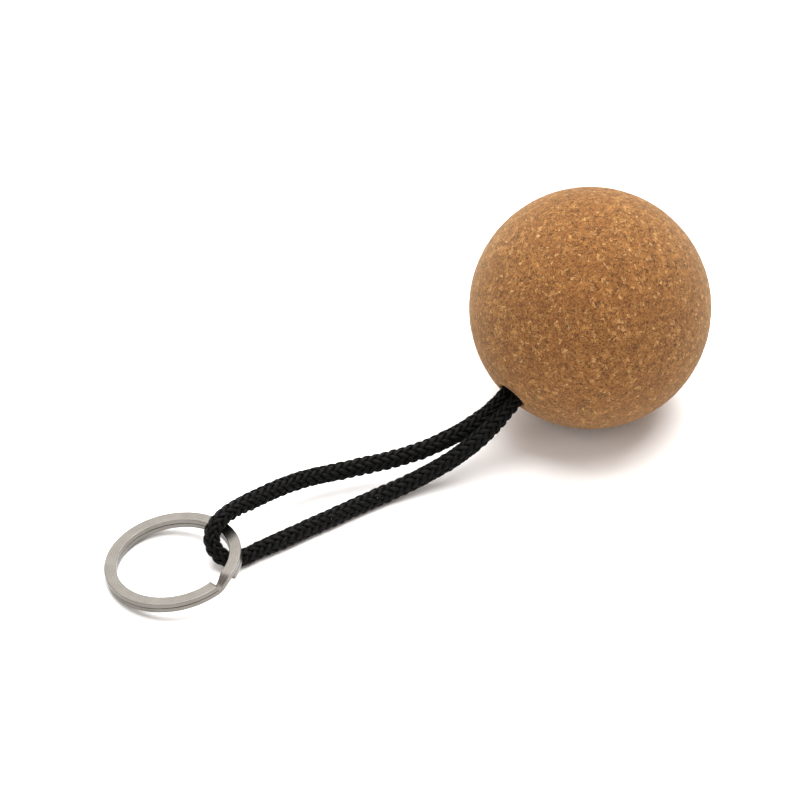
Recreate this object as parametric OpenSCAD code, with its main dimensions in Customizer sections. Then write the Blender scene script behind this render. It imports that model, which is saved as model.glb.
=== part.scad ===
// Floating key ring: a cork ball on a loop of braided cord, with a flat split ring on the loop.
// Millimetres, +Z up. The floor is z = 0, and the ball and the ring both lie on it.
// X runs from the ring to the ball, and the origin is on the floor midway along their length.
// One length of cord runs doubled through the ball and is knotted in a counterbore on the far side.

/* [Ball] */
// Diameter of the cork ball
ball_d = 50; // [48:0.5:54]
// Diameter of the bore for the doubled cord
bore_d = 6.2; // [6:0.1:7]
// Diameter of the counterbore that holds the knot
counterbore_d = 12.4; // [12:0.1:15]
// Distance from the ball's centre to the counterbore's floor
counterbore_floor = 10; // [7:0.5:10]
// Width of the chamfer round both mouths of the hole
mouth_chamfer = 0.4; // [0.2:0.1:0.6]

/* [Cord] */
// Diameter of the braided cord where it lies free
cord_d = 3.4; // [3:0.1:3.4]
// Diameter of each strand where the bore squeezes the pair
squeezed_d = 2.8; // [2.4:0.1:2.8]
// Diameter of the cord where it is drawn round the ring
pinched_d = 3.1; // [2.6:0.1:3.2]
// Diameter of the stopper knot
knot_d = 10.8; // [9:0.1:11.2]
// Length of the two cord ends that stand out of the knot
tail_length = 3.4; // [2:0.1:4]

/* [Split ring] */
// Outer diameter of the split ring
ring_d = 28; // [27:0.5:28]
// Width of the flat wire, measured along the ring's radius
band_width = 2.4; // [1.8:0.1:2.4]
// Thickness of one turn of the flat wire
leaf_thickness = 1.02; // [0.8:0.02:1.02]
// Gap between the two turns
leaf_gap = 0.06; // [0.04:0.02:0.08]

/* [Hidden] */
$fn = 96;

ball_r = ball_d / 2;
ring_r = ring_d / 2;
ring_height = 2 * leaf_thickness + leaf_gap;

// Where the two strands first bend, just outside the ball, and how far out of the ball that is
flex_point = [19.74, -5.04, 12.95];
flex_out = 3;
// The ball lies on the floor at y = 0, with the bore's axis through flex_point
flex_reach = ball_r + flex_out;
ball_x = flex_point.x + sqrt(flex_reach ^ 2 - flex_point.y ^ 2 - (ball_r - flex_point.z) ^ 2);
ball_centre = [ball_x, 0, ball_r];
bore_axis = (flex_point - ball_centre) / flex_reach;
bore_tilt = acos(bore_axis.z);
bore_heading = atan2(bore_axis.y, bore_axis.x);
// Half the distance between the two strands' centre lines in the bore
strand_offset = 1.5;
// Flats on the knot, where the strands go in and the tails come out
knot_flat = 0.8;
knot_clearance = 0.1;
knot_near = counterbore_floor + knot_clearance;
knot_centre = knot_near + knot_d / 2 - knot_flat;
knot_far = knot_centre + knot_d / 2 - knot_flat;

// The ring leans on the cord: it is lifted on the side that lean_azimuth points to
ring_centre = [-55.6, -0.6];
ring_lean = 9;
lean_azimuth = -40;
// Azimuths between which the wire steps from the upper turn down to the lower one
step_top = -61;
step_foot = -79;
// Angle of the narrow flat beside each cut end, which the gap between the turns runs out over
end_flat = 1.5;

// Centre line of the cord as it lies, from the bend at the ball to the bend near the ring
rear_route = [
  [19.4, -3.6, 12.95], [16.8, -3.7, 11.4], [13.6, -3.4, 9.8], [10.6, -2.9, 8.6],
  [7.2, -2.3, 7.6], [3.2, -1.6, 6.7], [-1, -0.5, 6], [-5.2, 0.9, 5.4], [-9.6, 2.3, 5.1],
  [-14.2, 3.5, 5], [-18.4, 4.4, 5.2], [-22.6, 4.8, 5.6], [-27.2, 4.5, 6.2], [-31.6, 3.8, 6.8],
  [-36, 3, 7.3]
];
front_route = [
  [20, -6.5, 12.95], [17.6, -6.9, 11.7], [14.4, -7.2, 10.1], [10.6, -7.2, 8.1],
  [6.6, -6.7, 6.1], [2.2, -5.9, 4.3], [-2.2, -5.2, 3], [-6.6, -4.6, 2.1], [-11, -4.4, 1.8],
  [-16.2, -4.5, 1.75], [-21.4, -4.7, 1.75], [-26.6, -4.8, 1.75], [-31.4, -5, 1.75],
  [-36, -5.1, 1.75]
];
// The bight goes over the ring, down through it and back under it
bight_route = [
  [-36, 3, 7.3], [-38.4, 2.6, 7.6], [-40.8, 2, 7.8], [-43.1, 1.3, 7.8], [-45.2, 0.5, 7.3],
  [-46.7, -0.6, 6.2], [-47.3, -2, 4.8], [-46.8, -3.6, 3.3], [-45.4, -4.8, 2.15],
  [-43.3, -5.3, 1.75], [-40.8, -5.3, 1.75], [-38.4, -5.1, 1.75], [-36, -5.1, 1.75]
];
bight_centre = [-43, -2, 4.8];
// A direction that the whole route stays roughly square to, which keeps the tube from twisting
loop_normal = [0, -0.6, 0.8];
tube_sides = 8;
// Room between a bend's centre and the flat end of the next stretch of cord
bend_room = 0.15;

function unit(v) = v / norm(v);

// Point at share t of the span from point i, on the curve that passes through every point
function curve_point(route, i, t) =
  let (last = len(route) - 1)
  let (a = i > 0 ? route[i - 1] : 2 * route[0] - route[1])
  let (b = route[i])
  let (c = route[i + 1])
  let (d = i + 2 > last ? 2 * c - b : route[i + 2])
  let (bend = 2 * a - 5 * b + 4 * c - d)
  let (twist = 3 * b - a - 3 * c + d)
  b + t * (c - a) / 2 + t ^ 2 * bend / 2 + t ^ 3 * twist / 2;

// Two samples in each span; start_gap and end_gap move the ends inwards along the cord
function samples(route, start_gap, end_gap) =
  let (last = len(route) - 1)
  [
    route[0] + start_gap * unit(route[1] - route[0]),
    for (i = [0 : last - 1]) each [
      if (i > 0) route[i],
      curve_point(route, i, 0.5 + (i == 0 ? 0.2 : 0) - (i == last - 1 ? 0.2 : 0))
    ],
    route[last] + end_gap * unit(route[last - 1] - route[last])
  ];

// The cord is squeezed near the ball, pinched in the bight and full between them
function cord_radius(p) =
  min(cord_d / 2, squeezed_d / 2 + 0.06 * norm(p - flex_point),
    pinched_d / 2 + 0.03 * max(0, norm(p - bight_centre) - 5));

function direction(path, i) = unit(path[min(i + 1, len(path) - 1)] - path[max(i - 1, 0)]);

// One ring of the tube: a polygon of radius r about p, square to the direction d
function tube_ring(p, d, r) =
  let (v = unit(cross(d, loop_normal)))
  let (u = cross(v, d))
  let (step = 360 / tube_sides)
  [for (k = [0 : tube_sides - 1]) p + r * (cos(step * k) * u + sin(step * k) * v)];

// Rings that round off the tube's last end, as [distance past the end, share of the radius]
round_end = [[0.5, 0.87], [0.87, 0.5]];

module cord_tube(route, start_gap, end_gap, rounded) {
  path = samples(route, start_gap, end_gap);
  last = len(path) - 1;
  end_r = cord_radius(path[last]);
  end_d = direction(path, last);
  body = [for (i = [0 : last]) tube_ring(path[i], direction(path, i), cord_radius(path[i]))];
  tip = [
    for (s = rounded ? round_end : [])
      tube_ring(path[last] + s[0] * end_r * end_d, end_d, s[1] * end_r)
  ];
  rings = concat(body, tip);
  count = len(rings);
  side_faces = [
    for (i = [0 : count - 2], k = [0 : tube_sides - 1])
      let (a = i * tube_sides + k)
      let (b = i * tube_sides + (k + 1) % tube_sides)
      each [[a, a + tube_sides, b], [b, a + tube_sides, b + tube_sides]]
  ];
  start_face = [for (k = [0 : tube_sides - 1]) k];
  end_face = [for (k = [tube_sides - 1 : -1 : 0]) (count - 1) * tube_sides + k];
  polyhedron([for (r = rings) each r], concat([start_face], side_faces, [end_face]));
}

// Puts its children on the bore: local +Z runs out of the mouth, and local +Y is the front
// strand's side
module on_bore() {
  translate(ball_centre) rotate([0, bore_tilt, bore_heading]) children();
}

// A cone that breaks the edge where a hole of radius r leaves the ball
module mouth_cone(r) {
  edge = sqrt(ball_r ^ 2 - r ^ 2);
  translate([0, 0, edge - mouth_chamfer])
    cylinder(h = 3 * mouth_chamfer, r1 = r, r2 = r + 3 * mouth_chamfer);
}

module cork_ball() {
  counterbore_r = counterbore_d / 2;
  color("#b07c48")
    difference() {
      translate(ball_centre) sphere(r = ball_r);
      on_bore() {
        cylinder(h = 2 * ball_d, d = bore_d, center = true);
        mouth_cone(bore_d / 2);
        rotate([180, 0, 0]) {
          translate([0, 0, counterbore_floor]) cylinder(h = ball_r, r = counterbore_r);
          mouth_cone(counterbore_r);
        }
      }
    }
}

// Both strands from the knot through the bore, with tapered tips at the first bend
module cord_in_bore() {
  r = squeezed_d / 2;
  tip = flex_reach + 0.8 * r;
  outline = [[0, -knot_near], [r, -knot_near], [r, flex_reach], [r / 2, tip], [0, tip]];
  color("#1c1c1e")
    for (side = [-1, 1])
      on_bore() translate([0, side * strand_offset, 0]) rotate_extrude() polygon(outline);
}

module cord_knot() {
  flat_to_flat = knot_far - knot_near;
  color("#1c1c1e")
    on_bore() intersection() {
      translate([0, 0, -knot_centre]) sphere(d = knot_d);
      translate([0, 0, -knot_centre]) cube([2 * knot_d, 2 * knot_d, flat_to_flat], center = true);
    }
}

module cord_tails() {
  color("#1c1c1e")
    for (side = [-1, 1])
      on_bore() translate([0, side * strand_offset, -knot_far - tail_length])
        cylinder(h = tail_length, d = squeezed_d);
}

module cord_rear_strand() {
  color("#1c1c1e") cord_tube(rear_route, squeezed_d / 2 + bend_room, 0, true);
}

module cord_front_strand() {
  color("#1c1c1e") cord_tube(front_route, squeezed_d / 2 + bend_room, 0, true);
}

module cord_bight() {
  gap = cord_d / 2 + bend_room;
  color("#1c1c1e") cord_tube(bight_route, gap, gap, false);
}

// A ring-shaped block of rectangular section, swept from one azimuth to another
module arc_block(from, to, inner, outer, low, high) {
  rotate([0, 0, from]) rotate_extrude(angle = to - from)
    translate([inner, low]) square([outer - inner, high - low]);
}

// Cuts the wire free over the step: keeps what lies within an outline drawn along the ring's edge
module step_cut(outline) {
  intersection() {
    arc_block(step_foot, step_top, ring_r / 2, 2 * ring_r, -ring_height, 2 * ring_height);
    rotate([0, 0, (step_top + step_foot) / 2]) rotate([90, 0, 90])
      linear_extrude(height = 2 * ring_r) polygon(outline);
  }
}

// Two turns of one flat wire. It steps down from the upper turn to the lower one between two azimuths.
module coil() {
  inner = ring_r - band_width;
  half = inner * sin((step_top - step_foot) / 2 - end_flat);
  run_out = end_flat / 2;
  rise = leaf_thickness + leaf_gap;
  difference() {
    rotate_extrude() translate([inner, 0]) square([band_width, ring_height]);
    arc_block(step_top - run_out, 360 + step_foot + run_out, ring_r / 2, 2 * ring_r,
      leaf_thickness, rise);
    step_cut([
      [-ring_r, leaf_thickness], [-half, leaf_thickness], [half, ring_height],
      [half, 1.5 * ring_height], [-ring_r, 1.5 * ring_height]
    ]);
    step_cut([
      [-half, 0], [half, rise], [ring_r, rise], [ring_r, -ring_height / 2],
      [-half, -ring_height / 2]
    ]);
  }
}

module split_ring() {
  color("#bab2a8")
    translate([ring_centre.x, ring_centre.y, ring_r * sin(ring_lean)])
      rotate([0, 0, lean_azimuth]) rotate([0, -ring_lean, 0]) rotate([0, 0, -lean_azimuth]) coil();
}

cork_ball();
cord_in_bore();
cord_knot();
cord_tails();
cord_rear_strand();
cord_front_strand();
cord_bight();
split_ring();
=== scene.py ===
"""Floating key ring: a cork ball on a knotted loop of black braided cord, with a flat split
ring held in the loop's bight.

Metres, +Z up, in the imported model's frame. The floor is z = 0. +X runs from ring to ball.
"""

import math

import bpy
import numpy as np
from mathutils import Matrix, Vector


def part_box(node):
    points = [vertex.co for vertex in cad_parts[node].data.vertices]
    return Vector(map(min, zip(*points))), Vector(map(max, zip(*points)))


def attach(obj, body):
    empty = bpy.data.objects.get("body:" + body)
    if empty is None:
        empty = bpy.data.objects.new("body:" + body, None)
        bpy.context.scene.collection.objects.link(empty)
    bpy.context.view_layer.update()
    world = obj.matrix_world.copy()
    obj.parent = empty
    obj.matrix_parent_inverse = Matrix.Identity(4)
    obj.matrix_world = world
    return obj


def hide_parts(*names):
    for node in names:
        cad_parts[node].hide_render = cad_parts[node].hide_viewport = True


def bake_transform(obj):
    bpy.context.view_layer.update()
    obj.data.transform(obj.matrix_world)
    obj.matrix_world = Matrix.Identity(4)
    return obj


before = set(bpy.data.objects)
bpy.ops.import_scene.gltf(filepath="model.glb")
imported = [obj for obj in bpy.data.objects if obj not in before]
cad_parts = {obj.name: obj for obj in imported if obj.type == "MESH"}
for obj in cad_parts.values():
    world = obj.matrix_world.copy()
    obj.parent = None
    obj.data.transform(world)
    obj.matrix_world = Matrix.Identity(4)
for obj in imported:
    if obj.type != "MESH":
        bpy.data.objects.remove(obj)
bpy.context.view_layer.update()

MM = 0.001  # a millimetre in metres


# ---------------------------------------------------------------- tools for shapes


def unit(v):
    """Every vector of an array, shortened or stretched to length 1."""
    return v / np.linalg.norm(v, axis=-1, keepdims=True)


def through(points, per_span=40):
    """The smooth curve through every point. Each span is a cubic whose slope at a point is
    half the step between that point's neighbours."""
    p = np.vstack([2 * points[0] - points[1], points, 2 * points[-1] - points[-2]])
    a, b, c, d = (p[k : len(p) - 3 + k, None] for k in range(4))
    t = np.linspace(0, 1, per_span, endpoint=False)[None, :, None]
    bend = 2 * a - 5 * b + 4 * c - d
    twist = 3 * b - a - 3 * c + d
    curve = b + t * (c - a) / 2 + t**2 * bend / 2 + t**3 * twist / 2
    return np.vstack([curve.reshape(-1, 3), points[-1:]])


def lengths(line):
    """Distance along a line from its start to each of its points."""
    steps = np.linalg.norm(np.diff(line, axis=0), axis=1)
    return np.concatenate([[0.0], np.cumsum(steps)])


def spaced(line, step):
    """The same line with its points evenly spaced, about a step apart."""
    s = lengths(line)
    at = np.linspace(0, s[-1], int(round(s[-1] / step)) + 1)
    return np.stack([np.interp(at, s, line[:, k]) for k in range(3)], axis=1)


def smooth(t):
    """0 to 1 with a level start and end: 3t² - 2t³, held flat outside."""
    t = np.clip(t, 0, 1)
    return t * t * (3 - 2 * t)


def cell_value(cell, seed):
    """A steady number from 0 to 1 for each whole-number cell of an (n, 3) array: the three
    numbers are multiplied by large primes, mixed bit by bit and cut to 16 bits."""
    c = cell.astype(np.int64)
    n = (c[..., 0] * 73856093) ^ (c[..., 1] * 19349663) ^ (c[..., 2] * 83492791)
    n = (n + seed * 2654435761) & 0xFFFFFFFF
    n = ((n ^ (n >> 13)) * 1274126177) & 0xFFFFFFFF
    n = ((n ^ (n >> 16)) * 2246822519) & 0xFFFFFFFF
    return ((n >> 8) & 0xFFFF) / 65535.0


def lumps(points, size, seed):
    """Smooth random lumps from 0 to 1 of about one size: the eight corner values of each
    cell, weighted by how near the point lies to each corner."""
    q = points / size
    low = np.floor(q)
    w = smooth(q - low)
    total = np.zeros(points.shape[:-1])
    for corner in np.ndindex(2, 2, 2):
        c = np.array(corner)
        share = np.prod(np.where(c == 1, w, 1 - w), axis=-1)
        total += share * cell_value(low + c, seed)
    return total


def grid_faces(tubes, rows, columns, wrap_rows, first):
    """The corner numbers and face sizes of grids of points whose columns close round. Rows
    close round too if wrap_rows, and otherwise each end gets one flat cap."""
    index = first + np.arange(tubes * rows * columns).reshape(tubes, rows, columns)
    here = index if wrap_rows else index[:, :-1]
    next_row = np.roll(index, -1, axis=1) if wrap_rows else index[:, 1:]
    quads = np.stack(
        [here, np.roll(here, -1, axis=2), np.roll(next_row, -1, axis=2), next_row], axis=-1
    ).reshape(-1, 4)
    loops = [quads.ravel()]
    sizes = [np.full(len(quads), 4)]
    if not wrap_rows:
        loops += [index[:, 0, ::-1].ravel(), index[:, -1].ravel()]
        sizes.append(np.full(2 * tubes, columns))
    return np.concatenate(loops), np.concatenate(sizes)


def grids_mesh(name, grids, material, wrap_rows=False, marks=None):
    """One mesh from a list of grids of points, each (tubes, rows, columns, 3)."""
    loops, sizes, count = [], [], 0
    for grid in grids:
        corners, faces = grid_faces(*grid.shape[:3], wrap_rows, count)
        loops.append(corners)
        sizes.append(faces)
        count += grid.size // 3
    loops, sizes = np.concatenate(loops), np.concatenate(sizes)
    points = np.concatenate([grid.reshape(-1, 3) for grid in grids])
    mesh = bpy.data.meshes.new(name)
    mesh.vertices.add(count)
    mesh.vertices.foreach_set("co", points.astype(np.float32).ravel())
    mesh.loops.add(len(loops))
    mesh.loops.foreach_set("vertex_index", loops.astype(np.int32))
    mesh.polygons.add(len(sizes))
    starts = np.concatenate([[0], np.cumsum(sizes)[:-1]])
    mesh.polygons.foreach_set("loop_start", starts.astype(np.int32))
    mesh.update(calc_edges=True)
    mesh.polygons.foreach_set("use_smooth", np.ones(len(sizes), bool))
    for label, values in (marks or {}).items():
        attribute = mesh.attributes.new(label, "FLOAT_VECTOR", "POINT")
        joined = np.concatenate([v.reshape(-1, 3) for v in values])
        attribute.data.foreach_set("vector", joined.astype(np.float32).ravel())
    mesh.materials.append(material)
    made = bpy.data.objects.new(name, mesh)
    bpy.context.scene.collection.objects.link(made)
    return made


# ------------------------------------------------------------- tools for materials


def colour(code):
    """An sRGB hex colour turned linear, with alpha 1."""
    s = np.array([int(code[k : k + 2], 16) / 255 for k in (1, 3, 5)])
    low = s <= 0.04045
    return (*np.where(low, s / 12.92, ((s + 0.055) / 1.055) ** 2.4), 1.0)


def add(tree, kind, inputs=None, stops=None, **settings):
    """Adds one node with its settings. An input is given by name or number, as a value or as
    another node's output. stops are a colour ramp's places and colours."""
    made = tree.nodes.new(kind)
    for name, value in settings.items():
        setattr(made, name, value)
    for name, value in (inputs or {}).items():
        if isinstance(value, bpy.types.NodeSocket):
            tree.links.new(value, made.inputs[name])
        else:
            made.inputs[name].default_value = value
    if stops:
        ramp = made.color_ramp.elements
        while len(ramp) < len(stops):
            ramp.new(0.5)
        for element, (place, shade) in zip(ramp, stops):
            element.position = place
            element.color = shade
    return made


def new_material(name):
    """An empty material with its output, and the Principled shader that feeds it."""
    made = bpy.data.materials.new(name)
    made.use_nodes = True
    made.node_tree.nodes.clear()
    shader = add(made.node_tree, "ShaderNodeBsdfPrincipled")
    add(made.node_tree, "ShaderNodeOutputMaterial", {"Surface": shader.outputs[0]})
    return made, made.node_tree, shader


def grey(level):
    """A linear grey, with alpha 1."""
    return (level, level, level, 1.0)


# ------------------------------------------------------------------------- camera

# A long lens, far back, from the ring's side and well above the floor
AZIMUTH, ELEVATION = math.radians(-32.0), math.radians(41.0)
CAMERA_PLACE = (-0.4752, -0.7579, 0.7980)
FOCAL_LENGTH, SENSOR_WIDTH = 262.44, 36.0  # millimetres, as the camera takes them
FAR_CLIP = 20.0
camera_data = bpy.data.cameras.new("camera")
camera_data.lens = FOCAL_LENGTH
camera_data.sensor_width = SENSOR_WIDTH
camera_data.clip_end = FAR_CLIP
camera = bpy.data.objects.new("camera", camera_data)
bpy.context.scene.collection.objects.link(camera)
back = Vector(
    (
        math.sin(AZIMUTH) * math.cos(ELEVATION),
        -math.cos(AZIMUTH) * math.cos(ELEVATION),
        math.sin(ELEVATION),
    )
)
camera.location = CAMERA_PLACE
camera.rotation_mode = "QUATERNION"
camera.rotation_quaternion = (-back).to_track_quat("-Z", "Y")
bpy.context.scene.camera = camera


# ------------------------------------------------------------- where the pieces lie

ball_low, ball_high = (np.array(corner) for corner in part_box("cork_ball"))
BALL_R = (ball_high[2] - ball_low[2]) / 2
ball_centre = (ball_low + ball_high) / 2
flex_point = MM * np.array([19.74, -5.04, 12.95])
bore_axis = unit(flex_point - ball_centre)
front_side = unit(np.array([-bore_axis[1], bore_axis[0], 0.0]))
bore_x = np.cross(front_side, bore_axis)


def on_bore(local):
    """Points given on the bore, in metres: +Z runs out of the mouth, +Y to the front strand."""
    return ball_centre + local @ np.stack([bore_x, front_side, bore_axis])


# The cord's centre line in millimetres, from the bend at the ball to the bend at the ring
REAR_ROUTE = [
    [16.8, -3.7, 11.4], [13.6, -3.4, 9.8], [10.6, -2.9, 8.6], [7.2, -2.3, 7.6],
    [3.2, -1.6, 6.7], [-1, -0.5, 6], [-5.2, 0.9, 5.4], [-9.6, 2.3, 5.1], [-14.2, 3.5, 5],
    [-18.4, 4.4, 5.2], [-22.6, 4.8, 5.6], [-27.2, 4.5, 6.2], [-31.6, 3.8, 6.8], [-36, 3, 7.3],
]  # fmt: skip
BIGHT_ROUTE = [
    [-38.4, 2.6, 7.6], [-40.8, 2, 7.8], [-43.1, 1.3, 7.8], [-45.2, 0.5, 7.3],
    [-46.7, -0.6, 6.2], [-47.3, -2, 4.8], [-46.8, -3.6, 3.3], [-45.4, -4.8, 2.15],
    [-43.3, -5.3, 1.75], [-40.8, -5.3, 1.75], [-38.4, -5.1, 1.75], [-36, -5.1, 1.75],
]  # fmt: skip
FRONT_ROUTE = [
    [-31.4, -5, 1.75], [-26.6, -4.8, 1.75], [-21.4, -4.7, 1.75], [-16.2, -4.5, 1.75],
    [-11, -4.4, 1.8], [-6.6, -4.6, 2.1], [-2.2, -5.2, 3], [2.2, -5.9, 4.3], [6.6, -6.7, 6.1],
    [10.6, -7.2, 8.1], [14.4, -7.2, 10.1], [17.6, -6.9, 11.7],
]  # fmt: skip
bight_centre = MM * np.array([-43.0, -2.0, 4.8])
PLAIT_FACE = np.array([-0.4, -0.64, 0.66])  # the side that a column of chevrons faces

STRAND_OFFSET = 1.5 * MM  # each strand's centre line from the bore's axis
in_bore = MM * np.array([9.4, 13.0, 17.0, 21.0, 24.5, 27.6])  # from the ball's centre
rear_bore = np.stack([0 * in_bore, 0 * in_bore - STRAND_OFFSET, in_bore], axis=1)
front_bore = rear_bore[::-1] * [1, -1, 1]
whole_route = np.vstack(
    [on_bore(rear_bore)]
    + [MM * np.array(r, float) for r in (REAR_ROUTE, BIGHT_ROUTE, FRONT_ROUTE)]
    + [on_bore(front_bore)]
)

PITCH = 15.0 * MM  # length of cord in which a yarn goes once round it
RINGS_PER_PITCH = 72
CORD_R = 1.74 * MM  # where the cord lies free, over the tops of the yarns
SQUEEZED_R = 1.40 * MM  # where the bore squeezes the pair of strands
PINCHED_R = 1.60 * MM  # where the cord is drawn round the ring
BIGHT_REACH = 5 * MM  # how far from its centre the bight stays thin
SWELL_PAST_BORE, SWELL_PAST_BIGHT = 0.06, 0.03  # growth in radius with distance
cord_line = spaced(through(whole_route), PITCH / RINGS_PER_PITCH)
cord_s = lengths(cord_line)


def cord_radius(points):
    """Half the cord's width: squeezed in the bore, drawn thin round the ring, full between."""
    from_ball = np.linalg.norm(points - flex_point, axis=-1)
    from_bight = np.linalg.norm(points - bight_centre, axis=-1)
    past_flex = (points - ball_centre) @ bore_axis > np.linalg.norm(flex_point - ball_centre)
    squeezed = SQUEEZED_R + np.where(past_flex, SWELL_PAST_BORE * from_ball, 0.0)
    pinched = PINCHED_R + SWELL_PAST_BIGHT * np.maximum(0, from_bight - BIGHT_REACH)
    return np.minimum(CORD_R, np.minimum(squeezed, pinched))


# ------------------------------------------------------------------ braided cord


def polyester_braid():
    """Black polyester multifilament, dyed in the mass and plaited: nearly black, with a thin
    silky line where the bundled filaments turn to the light."""
    made, tree, shader = new_material("black_polyester_braid")
    place = add(tree, "ShaderNodeAttribute", attribute_name="yarn_place")
    # Filaments are about 0.02 mm; they are drawn as 0.12 mm strands, so that they show
    stretched = add(
        tree, "ShaderNodeMapping", {"Vector": place.outputs["Vector"], "Scale": (8.0, 8.0, 0.5)}
    )
    filaments = add(
        tree,
        "ShaderNodeTexNoise",
        {"Vector": stretched.outputs[0], "Scale": 1.0, "Detail": 2.0, "Roughness": 0.55},
    )
    shade = add(
        tree,
        "ShaderNodeValToRGB",
        {"Fac": filaments.outputs[0]},
        stops=[(0.35, colour("#050505")), (0.65, colour("#131312"))],
    )
    bump = add(
        tree,
        "ShaderNodeBump",
        {"Height": filaments.outputs[0], "Strength": 0.8, "Distance": 0.08 * MM},
    )
    tree.links.new(shade.outputs[0], shader.inputs["Base Color"])
    tree.links.new(bump.outputs[0], shader.inputs["Normal"])
    shader.inputs["Roughness"].default_value = 0.5
    shader.inputs["Specular IOR Level"].default_value = 0.06
    return made


YARNS_EACH_WAY = 8
YARN_SIDES = 10
YARN_FILL = 0.88  # share of the room between its neighbours that a yarn takes up
# As shares of the cord's radius: a yarn's mean distance from the centre line, how far it
# swings over and under, how far it strays, and half its own thickness
YARN_MEAN, YARN_SWING, YARN_STRAY, YARN_HALF_DEPTH = 0.74, 0.18, 0.02, 0.19
YARN_SHIFT = 41.0  # millimetres that part one yarn's filament pattern from the next one's
FLOAT_HOLD = 1.3  # how long a float stays up before it dips: 0 would be an even swing
SWAY, SWAY_LENGTH = 0.3, 6.5 * MM  # how far the plait turns to and fro, in radians


def braid(line, radius, start=0.0):
    """Sixteen yarns plaited round a line, eight turning each way. At a distance s along the
    cord a yarn stands at the angle 2πs/PITCH, its sense and an eighth of a turn for each of
    its set. It floats over two yarns of the other set and then dips under two, so its own
    distance from the line swings with the cosine of four times that angle, and the floats
    meet in chevrons along the side that PLAIT_FACE looks from. The whole plait then turns a
    little to and fro along the cord, as a laid cord does, and no two yarns lie quite alike.
    Its section is an oval. Returns the grids of points and each point's place in its yarn,
    in millimetres."""
    s = start + lengths(line)
    along = unit(np.gradient(line, axis=0))
    v = unit(np.cross(along, PLAIT_FACE))
    u = np.cross(v, along)
    yarn = np.arange(2 * YARNS_EACH_WAY)[:, None]
    sense = np.where(yarn < YARNS_EACH_WAY, 1.0, -1.0)
    angle = sense * 2 * math.pi * s[None] / PITCH + yarn * 2 * math.pi / YARNS_EACH_WAY
    swing = np.cos(YARNS_EACH_WAY / 2 * angle + math.pi / 4)
    over = np.tanh(FLOAT_HOLD * swing) / math.tanh(FLOAT_HOLD) * sense
    uneven = np.sin(1.3 * angle + 2.4 * yarn)
    r = radius * (YARN_MEAN + YARN_SWING * over + YARN_STRAY * uneven)
    angle = angle + SWAY * np.sin(s / SWAY_LENGTH + 1)
    outward = np.cos(angle)[..., None] * u + np.sin(angle)[..., None] * v
    middle = line + r[..., None] * outward
    forward = unit(np.gradient(middle, axis=1))
    side = unit(np.cross(forward, outward))
    up = np.cross(side, forward)
    slant = np.arctan2(2 * math.pi * r, PITCH)
    half_width = YARN_FILL / 2 * PITCH / YARNS_EACH_WAY * np.sin(slant) * (radius / CORD_R)
    half_depth = YARN_HALF_DEPTH * radius * np.ones_like(r)
    turn = np.linspace(0, 2 * math.pi, YARN_SIDES, endpoint=False)
    across = half_width[..., None] * np.cos(turn)
    depth = half_depth[..., None] * np.sin(turn)
    sheets = (
        middle[:, :, None]
        + across[..., None] * side[:, :, None]
        + depth[..., None] * up[:, :, None]
    )
    run = (s / MM)[None, :, None] + YARN_SHIFT * yarn[:, :, None] + 0 * across
    place = np.stack([across / MM, depth / MM, run], axis=-1)
    return sheets, place


black_braid = polyester_braid()


def cord_piece(name, first, last):
    """The stretch of the whole cord between two of its points, as one piece."""
    line = cord_line[first : last + 1]
    sheets, place = braid(line, cord_radius(line), cord_s[first])
    piece = grids_mesh(name, [sheets], black_braid, marks={"yarn_place": [place]})
    return piece, line


def nearest(point):
    """The number of the cord's point that lies closest to a given one."""
    return int(np.argmin(np.linalg.norm(cord_line - np.array(point), axis=1)))


# The three lengths meet where the cord is straight and turns with one body alone
rear_seam = nearest(MM * np.array([-9.6, 2.3, 5.1]))
front_seam = nearest(MM * np.array([-8.8, -4.5, 1.9]))
mouth_rear = on_bore(np.array([0, -STRAND_OFFSET, BALL_R]))
mouth_front = on_bore(np.array([0, STRAND_OFFSET, BALL_R]))

for name, first, last, mouth, nodes in (
    ("cord_strand_rear", 0, rear_seam, mouth_rear, ("cord_rear_strand", "cord_in_bore")),
    ("cord_strand_front", front_seam, len(cord_line) - 1, mouth_front, ("cord_front_strand",)),
):
    strand, line = cord_piece(name, first, last)
    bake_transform(strand)
    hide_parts(*nodes)

loop_end, line = cord_piece("cord_loop_end", rear_seam, front_seam)
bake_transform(loop_end)
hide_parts("cord_bight")


# ------------------------------------------------------------- knot and cut ends

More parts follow.
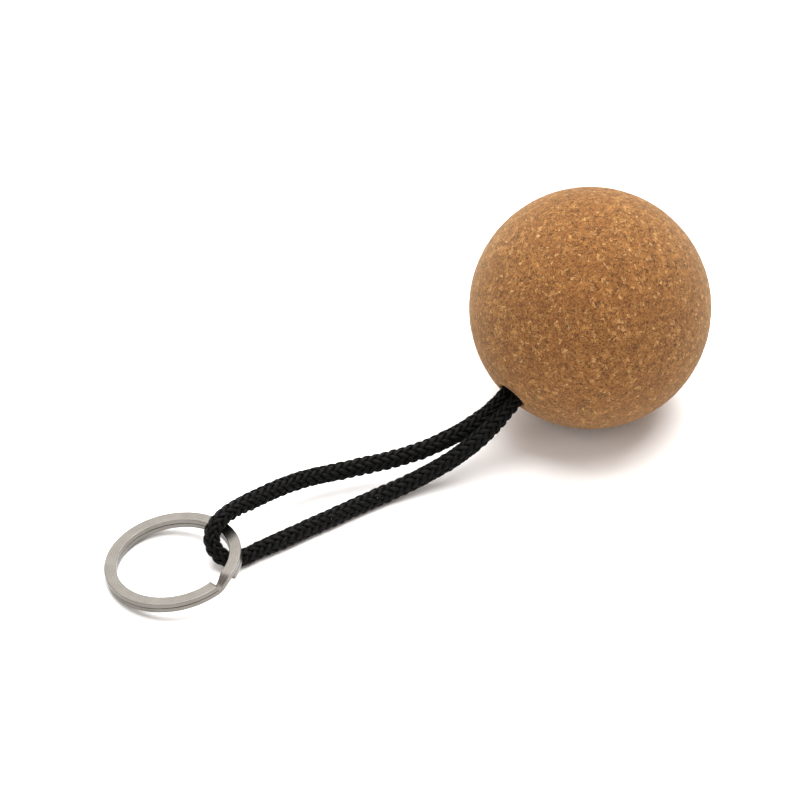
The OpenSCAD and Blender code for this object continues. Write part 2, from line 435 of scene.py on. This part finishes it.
# On the bore, in millimetres: the wraps wind back up from the outer end of the knot
WRAP_R, WRAP_START, WRAP_STEP, WRAP_CLIMB = 3.9, 18.0, 2.3, 4.6
KNOT_CORD_R = 1.22 * MM  # pulled tight, so thinner than the free cord
SEAL_R, SEAL_HEIGHT = 1.3 * MM, 0.6 * MM
wrap_turns = np.radians(np.linspace(0, 400, 14))
knot_sheets, knot_places = [], []
for side in (-1, 1):
    depth = WRAP_START - WRAP_STEP * (1 + side) / 2 - WRAP_CLIMB * wrap_turns / (2 * math.pi)
    wrap = np.stack(
        [WRAP_R * np.cos(wrap_turns + 0.5), WRAP_R * np.sin(wrap_turns + 0.5), -depth], axis=1
    )
    come_up = np.array([[1.3, 1.3 * side, -14.0], [1.4, 1.3 * side, -17.0], [2.3, 1.5, -18.5]])
    tuck_in = np.array([[0.5, 1.0 * side, -12.5]])
    tail = np.array(
        [[-1.1, 1.35 * side, -14.5], [-1.0, 1.4 * side, -18.0], [-0.7, 1.5 * side, -22.3]]
    )
    for points in (np.vstack([come_up, wrap, tuck_in]), tail):
        line = spaced(through(on_bore(MM * points)), PITCH / RINGS_PER_PITCH)
        sheets, place = braid(line, np.full(len(line), KNOT_CORD_R))
        knot_sheets.append(sheets)
        knot_places.append(place)
    # The cut end is sealed by melting: a low dome that grips the ends of the yarns
    end, heading = line[-1], unit(line[-1] - line[-2])
    sideways = unit(np.cross(heading, bore_x))
    up = np.cross(sideways, heading)
    rise, turn = np.meshgrid(np.linspace(-0.5, 1.5, 12), np.linspace(0, 2 * math.pi, 24, False))
    rise, turn = rise.T[..., None], turn.T[..., None]
    rim = SEAL_R * np.cos(np.maximum(rise, 0))
    round_it = rim * (np.cos(turn) * sideways + np.sin(turn) * up)
    dome = end + SEAL_HEIGHT * np.sin(rise) * heading + round_it
    knot_sheets.append(dome[None])
    knot_places.append(dome[None] / MM)
knot = grids_mesh("stopper_knot", knot_sheets, black_braid, marks={"yarn_place": knot_places})
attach(knot, "cord_stem")
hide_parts("cord_knot", "cord_tails")


# ---------------------------------------------------------------------- cork ball


def cork():
    """Agglomerated cork, turned and sanded: warm tan granules of mixed tone with pale flecks
    and short dark threads of bark between them, dull all over."""
    made, tree, shader = new_material("sanded_agglomerated_cork")
    where = add(tree, "ShaderNodeTexCoord")
    mm = add(
        tree,
        "ShaderNodeMapping",
        {"Vector": where.outputs["Object"], "Scale": (1000.0, 1000.0, 1000.0)},
    )
    at = mm.outputs[0]
    # A swirl bends every grain's outline, as pressed granules have no straight sides
    swirl = add(tree, "ShaderNodeTexNoise", {"Vector": at, "Scale": 1.1, "Detail": 3.0})
    bent = add(
        tree,
        "ShaderNodeVectorMath",
        {0: swirl.outputs["Color"], 1: (1.6, 1.6, 1.6), 2: at},
        operation="MULTIPLY_ADD",
    )
    # Granules run from 1 to 3 mm, and their tone drifts from tan to red-brown
    granules = add(
        tree,
        "ShaderNodeTexNoise",
        {"Vector": bent.outputs[0], "Scale": 0.65, "Detail": 5.0, "Roughness": 0.8},
    )
    ground = add(
        tree,
        "ShaderNodeValToRGB",
        {"Fac": granules.outputs[0]},
        stops=[
            (0.34, colour("#6e4728")),
            (0.45, colour("#7c512b")),
            (0.55, colour("#885c31")),
            (0.68, colour("#a37847")),
        ],
    )
    # Blocks of one pressing differ a little: patches about 8 mm across are darker and redder
    patches = add(
        tree, "ShaderNodeTexNoise", {"Vector": at, "Scale": 0.13, "Detail": 2.0}
    )
    patch = add(
        tree, "ShaderNodeMapRange", {0: patches.outputs[0], 1: 0.45, 2: 0.65, 3: 0.0, 4: 0.35}
    )
    shade = add(
        tree,
        "ShaderNodeMix",
        {0: patch.outputs[0], 6: ground.outputs[0], 7: colour("#6c4323")},
        data_type="RGBA",
    ).outputs[2]
    # Pale flecks: a cell here and there of a fine net, 0.4 to 0.9 mm wide
    for scale, keep, pale in ((1.1, 0.92, "#b88c58"), (2.0, 0.93, "#d3ab76")):
        net = add(
            tree, "ShaderNodeTexVoronoi", {"Vector": bent.outputs[0], "Scale": scale}
        )
        lot = add(tree, "ShaderNodeSeparateColor", {0: net.outputs["Color"]})
        chosen = add(
            tree,
            "ShaderNodeMapRange",
            {0: lot.outputs[0], 1: keep, 2: keep + 0.12, 3: 0.0, 4: 0.8},
        )
        shade = add(
            tree,
            "ShaderNodeMix",
            {0: chosen.outputs[0], 6: shade, 7: colour(pale)},
            data_type="RGBA",
        ).outputs[2]
    # Dark threads of bark about 0.15 mm wide: where a slow noise crosses its middle value,
    # broken into short lengths by a second noise
    for scale, shift, width in ((0.9, 0.0, 0.04), (1.5, 40.0, 0.06), (2.3, 80.0, 0.07)):
        moved = add(
            tree, "ShaderNodeMapping", {"Vector": bent.outputs[0], "Location": (shift,) * 3}
        )
        drift = add(
            tree,
            "ShaderNodeTexNoise",
            {"Vector": moved.outputs[0], "Scale": scale, "Detail": 1.0},
        )
        off = add(tree, "ShaderNodeMath", {0: drift.outputs[0], 1: 0.5}, operation="SUBTRACT")
        away = add(tree, "ShaderNodeMath", {0: off.outputs[0]}, operation="ABSOLUTE")
        thread = add(
            tree, "ShaderNodeMapRange", {0: away.outputs[0], 1: 0.0, 2: width, 3: 1.0, 4: 0.0}
        )
        breaks = add(
            tree,
            "ShaderNodeTexNoise",
            {"Vector": moved.outputs[0], "Scale": 0.9 * scale, "Detail": 0.0},
        )
        kept = add(
            tree,
            "ShaderNodeMapRange",
            {0: breaks.outputs[0], 1: 0.42, 2: 0.50, 3: 0.0, 4: 0.9},
        )
        dark = add(
            tree, "ShaderNodeMath", {0: thread.outputs[0], 1: kept.outputs[0]}, operation="MULTIPLY"
        )
        shade = add(
            tree,
            "ShaderNodeMix",
            {0: dark.outputs[0], 6: shade, 7: colour("#35200e")},
            data_type="RGBA",
        ).outputs[2]
    grit = add(tree, "ShaderNodeTexNoise", {"Vector": at, "Scale": 3.0, "Detail": 3.0})
    bump = add(
        tree,
        "ShaderNodeBump",
        {"Height": grit.outputs[0], "Strength": 0.5, "Distance": 0.12 * MM},
    )
    tree.links.new(shade, shader.inputs["Base Color"])
    tree.links.new(bump.outputs[0], shader.inputs["Normal"])
    shader.inputs["Roughness"].default_value = 0.9
    shader.inputs["Specular IOR Level"].default_value = 0.1
    shader.inputs["Sheen Weight"].default_value = 0.16
    shader.inputs["Sheen Tint"].default_value = colour("#f4e2b8")
    shader.inputs["Sheen Roughness"].default_value = 0.6
    return made


BORE_R, COUNTERBORE_R = 3.1 * MM, 6.2 * MM
COUNTERBORE_FLOOR = -10 * MM  # along the bore's axis from the ball's centre
EDGE = 0.35 * MM  # width of the broken edge round both mouths


def ball_profile():
    """The closed outline that spins round the bore's axis, as (radius, height) in metres: the
    sphere from the mouth round to the counterbore, that wall, its floor, and the bore."""
    mouth = math.asin((BORE_R + EDGE) / BALL_R)
    far = math.pi - math.asin((COUNTERBORE_R + EDGE) / BALL_R)
    a = np.linspace(mouth, far, 176)
    outside = np.stack([BALL_R * np.sin(a), BALL_R * np.cos(a)], axis=1)
    far_lip = -math.sqrt(BALL_R**2 - COUNTERBORE_R**2) + EDGE
    down_wall = np.linspace(far_lip, COUNTERBORE_FLOOR, 24)
    wall = np.stack([np.full(24, COUNTERBORE_R), down_wall], axis=1)
    across_floor = np.linspace(COUNTERBORE_R, BORE_R, 7)[1:]
    floor = np.stack([across_floor, np.full(6, COUNTERBORE_FLOOR)], axis=1)
    near_lip = math.sqrt(BALL_R**2 - BORE_R**2) - EDGE
    up_bore = np.linspace(COUNTERBORE_FLOOR, near_lip, 29)[1:]
    bore = np.stack([np.full(28, BORE_R), up_bore], axis=1)
    return np.vstack([outside, wall, floor, bore])


profile = ball_profile()
BALL_SIDES = 400
turn = np.linspace(0, 2 * math.pi, BALL_SIDES, endpoint=False)
spun = np.stack(
    [
        profile[:, None, 0] * np.cos(turn),
        profile[:, None, 0] * np.sin(turn),
        profile[:, None, 1] + 0 * turn,
    ],
    axis=-1,
)
# The sanded face is uneven by up to a tenth of a millimetre, where granules of 1.1 mm and
# 0.5 mm were cut through
relief = 0.07 * lumps(spun, 1.1 * MM, 3) + 0.05 * lumps(spun, 0.5 * MM, 7)
spun = spun * (1 - relief * MM / BALL_R)[..., None]
ball_points = on_bore(spun)
ball = grids_mesh("cork_ball_turned", [ball_points[None]], cork(), wrap_rows=True)
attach(ball, "ball")
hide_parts("cork_ball")


# --------------------------------------------------------------------- split ring


def nickel_wire():
    """Flat spring-steel wire, rolled, coiled and nickel plated: warm grey and satin, with
    fine draw lines along the wire, a little darker in places where fingers dull the plate."""
    made, tree, shader = new_material("satin_nickel_plated_wire")
    # Marked points hold millimetres across, up and along the wire
    wire = add(tree, "ShaderNodeAttribute", attribute_name="wire_place")
    # The roller's lines are near 0.05 mm apart and 10 mm long, drawn 0.1 mm apart so they show
    drawn = add(
        tree, "ShaderNodeMapping", {"Vector": wire.outputs["Vector"], "Scale": (10.0, 10.0, 0.1)}
    )
    lines = add(
        tree, "ShaderNodeTexNoise", {"Vector": drawn.outputs[0], "Scale": 1.0, "Detail": 2.0}
    )
    dulled = add(
        tree,
        "ShaderNodeTexNoise",
        {"Vector": wire.outputs["Vector"], "Scale": 0.25, "Detail": 2.0},
    )
    shade = add(
        tree,
        "ShaderNodeValToRGB",
        {0: dulled.outputs[0]},
        stops=[(0.35, colour("#6b6863")), (0.65, colour("#726f6a"))],
    )
    rough = add(
        tree, "ShaderNodeMapRange", {0: lines.outputs[0], 1: 0.3, 2: 0.7, 3: 0.23, 4: 0.29}
    )
    bump = add(
        tree,
        "ShaderNodeBump",
        {"Height": lines.outputs[0], "Strength": 0.3, "Distance": 0.006 * MM},
    )
    tree.links.new(shade.outputs[0], shader.inputs["Base Color"])
    tree.links.new(rough.outputs[0], shader.inputs["Roughness"])
    tree.links.new(bump.outputs[0], shader.inputs["Normal"])
    shader.inputs["Metallic"].default_value = 1.0
    return made


# The wire's width is BAND and one turn's thickness is LEAF, with GAP between the turns
RING_R, BAND, LEAF, GAP = 14 * MM, 2.4 * MM, 1.02 * MM, 0.06 * MM
WIRE_CORNER = 0.12 * MM
ring_centre = MM * np.array([-55.6, -0.6, 0.0])
LEAN, LEAN_AZIMUTH = math.radians(9.0), math.radians(-40.0)
# Azimuths in degrees of the wire's two cut ends, and of the top of the step between the turns
UPPER_END, LOWER_END, STEP_TOP = -79.0, -62.0, -60.0
# How far the bend draws the wire's inner edge outwards, and the degrees over which that fades
EDGE_DRAW, DRAW_FADE = 0.8 * MM, 14


def lean(points):
    """Turns the ring, made flat about +Z, to lean with the side at LEAN_AZIMUTH lifted, and
    stands its lowest edge on the floor."""
    up = np.array(
        [
            -math.sin(LEAN) * math.cos(LEAN_AZIMUTH),
            -math.sin(LEAN) * math.sin(LEAN_AZIMUTH),
            math.cos(LEAN),
        ]
    )
    level = np.array([-math.sin(LEAN_AZIMUTH), math.cos(LEAN_AZIMUTH), 0.0])
    slope = np.cross(level, up)
    c, s = math.cos(LEAN_AZIMUTH), math.sin(LEAN_AZIMUTH)
    down_slope = points[..., 0] * c + points[..., 1] * s
    sideways = -points[..., 0] * s + points[..., 1] * c
    lifted = ring_centre + np.array([0, 0, RING_R * math.sin(LEAN)])
    return (
        lifted
        + down_slope[..., None] * slope
        + sideways[..., None] * level
        + points[..., 2:] * up
    )


def wire_section(corner, per_corner=6, flat=0.03 * MM):
    """A flat wire's section: a rectangle with its four corners rounded, from arcs a quarter
    turn long about the four corner centres. A point lies a little way along the flat on
    either side of each arc, which keeps the flats flat. (across, up) in metres."""
    a = np.linspace(0, math.pi / 2, per_corner)
    a = np.concatenate([a[:1], a, a[-1:]]) + np.arange(4)[:, None] * math.pi / 2
    past = np.concatenate([[-flat], np.zeros(per_corner), [flat]])
    x = corner * np.cos(a) - past * np.sin(a)
    y = corner * np.sin(a) + past * np.cos(a)
    x = x + np.array([1, -1, -1, 1])[:, None] * (BAND / 2 - corner)
    y = y + np.array([1, 1, -1, -1])[:, None] * (LEAF / 2 - corner)
    return np.stack([x.ravel(), y.ravel()], axis=1)


def coiled_wire():
    """Two turns of one flat wire: its section carried round a circle, high for the first turn,
    sloping down over the step and low for the second. The bend that makes the step draws the
    wire's inner edge outwards there, most at the foot. Also each point's place on the wire:
    millimetres across it, up it and along it."""
    travel = (UPPER_END - STEP_TOP) % 360 + 360 + (LOWER_END - STEP_TOP)
    step_from = (UPPER_END - STEP_TOP) % 360
    step_to = step_from + (STEP_TOP - UPPER_END)
    along = np.unique(
        np.concatenate(
            [np.arange(0, travel, 1.5), [travel], np.arange(step_from - 4, step_to + 4, 0.5)]
        )
    )
    fall = smooth((along - step_from) / (step_to - step_from))
    height = LEAF / 2 + (LEAF + GAP) * (1 - fall)
    azimuth = np.radians(UPPER_END - along)
    section = wire_section(WIRE_CORNER)
    past_foot = np.maximum(along - step_to, 0)
    drawn = EDGE_DRAW * fall * (1 - smooth(past_foot / DRAW_FADE))
    inward = 0.5 - section[None, :, 0] / BAND
    radius = RING_R - BAND / 2 + section[None, :, 0] + drawn[:, None] * inward
    places = np.stack(
        [
            radius * np.cos(azimuth)[:, None],
            radius * np.sin(azimuth)[:, None],
            height[:, None] + section[None, :, 1],
        ],
        axis=-1,
    )
    across = section[None, :, 0] + 0 * radius
    up = section[None, :, 1] + 0 * radius
    run = RING_R * np.radians(along)[:, None] + 0 * radius
    return places, np.stack([across, up, run], axis=-1) / MM


places, wire_place = coiled_wire()
ring = grids_mesh(
    "split_ring_coiled",
    [lean(places)[None, :, ::-1]],
    nickel_wire(),
    marks={"wire_place": [wire_place[None, :, ::-1]]},
)
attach(ring, "ring")
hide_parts("split_ring")


# ---------------------------------------------------------------- floor and lights


def pale_paper():
    """Matte white backdrop paper: even and dull."""
    made, tree, shader = new_material("white_backdrop_paper")
    shader.inputs["Base Color"].default_value = grey(0.92)
    shader.inputs["Roughness"].default_value = 1.0
    shader.inputs["Specular IOR Level"].default_value = 0.0
    return made


H = 3.0  # half the floor's width
floor_mesh = bpy.data.meshes.new("floor")
floor_mesh.from_pydata([(-H, -H, 0), (H, -H, 0), (H, H, 0), (-H, H, 0)], [], [(0, 1, 2, 3)])
floor_mesh.materials.append(pale_paper())
floor = bpy.data.objects.new("floor", floor_mesh)
bpy.context.scene.collection.objects.link(floor)


def soft_box(name, place, target, size, watts):
    """A square studio light that faces its target."""
    data = bpy.data.lights.new(name, "AREA")
    data.shape = "SQUARE"
    data.size = size
    data.energy = watts
    made = bpy.data.objects.new(name, data)
    made.location = place
    made.rotation_mode = "QUATERNION"
    aim = Vector(target) - Vector(place)
    made.rotation_quaternion = aim.to_track_quat("-Z", "Y")
    bpy.context.scene.collection.objects.link(made)


# The big box overhead burns the floor out to white, so that only contact shadows are left on
# it. The fill lifts the ball's left side, and the back box lights the ring's flat face.
soft_box("overhead_soft_box", (0.33, 0.2, 1.38), (0, 0, 0), 1.5, 50.0)
soft_box("left_fill", (-1.0, -0.35, 0.9), (0, 0, 0), 0.8, 4.2)
soft_box("back_soft_box", (0.3, 1.35, 0.95), (-0.03, 0, 0), 1.2, 10.0)

# The room gives back a slightly warm light, which tints the shadows
ROOM_LIGHT, ROOM_STRENGTH = (1.0, 0.9, 0.83, 1.0), 0.62
world = bpy.data.worlds.new("studio")
bpy.context.scene.world = world
world.use_nodes = True
world.node_tree.nodes.clear()
room = {"Color": ROOM_LIGHT, "Strength": ROOM_STRENGTH}
surround = add(world.node_tree, "ShaderNodeBackground", room)
add(world.node_tree, "ShaderNodeOutputWorld", {"Surface": surround.outputs[0]})
bpy.context.scene.view_settings.view_transform = "Standard"
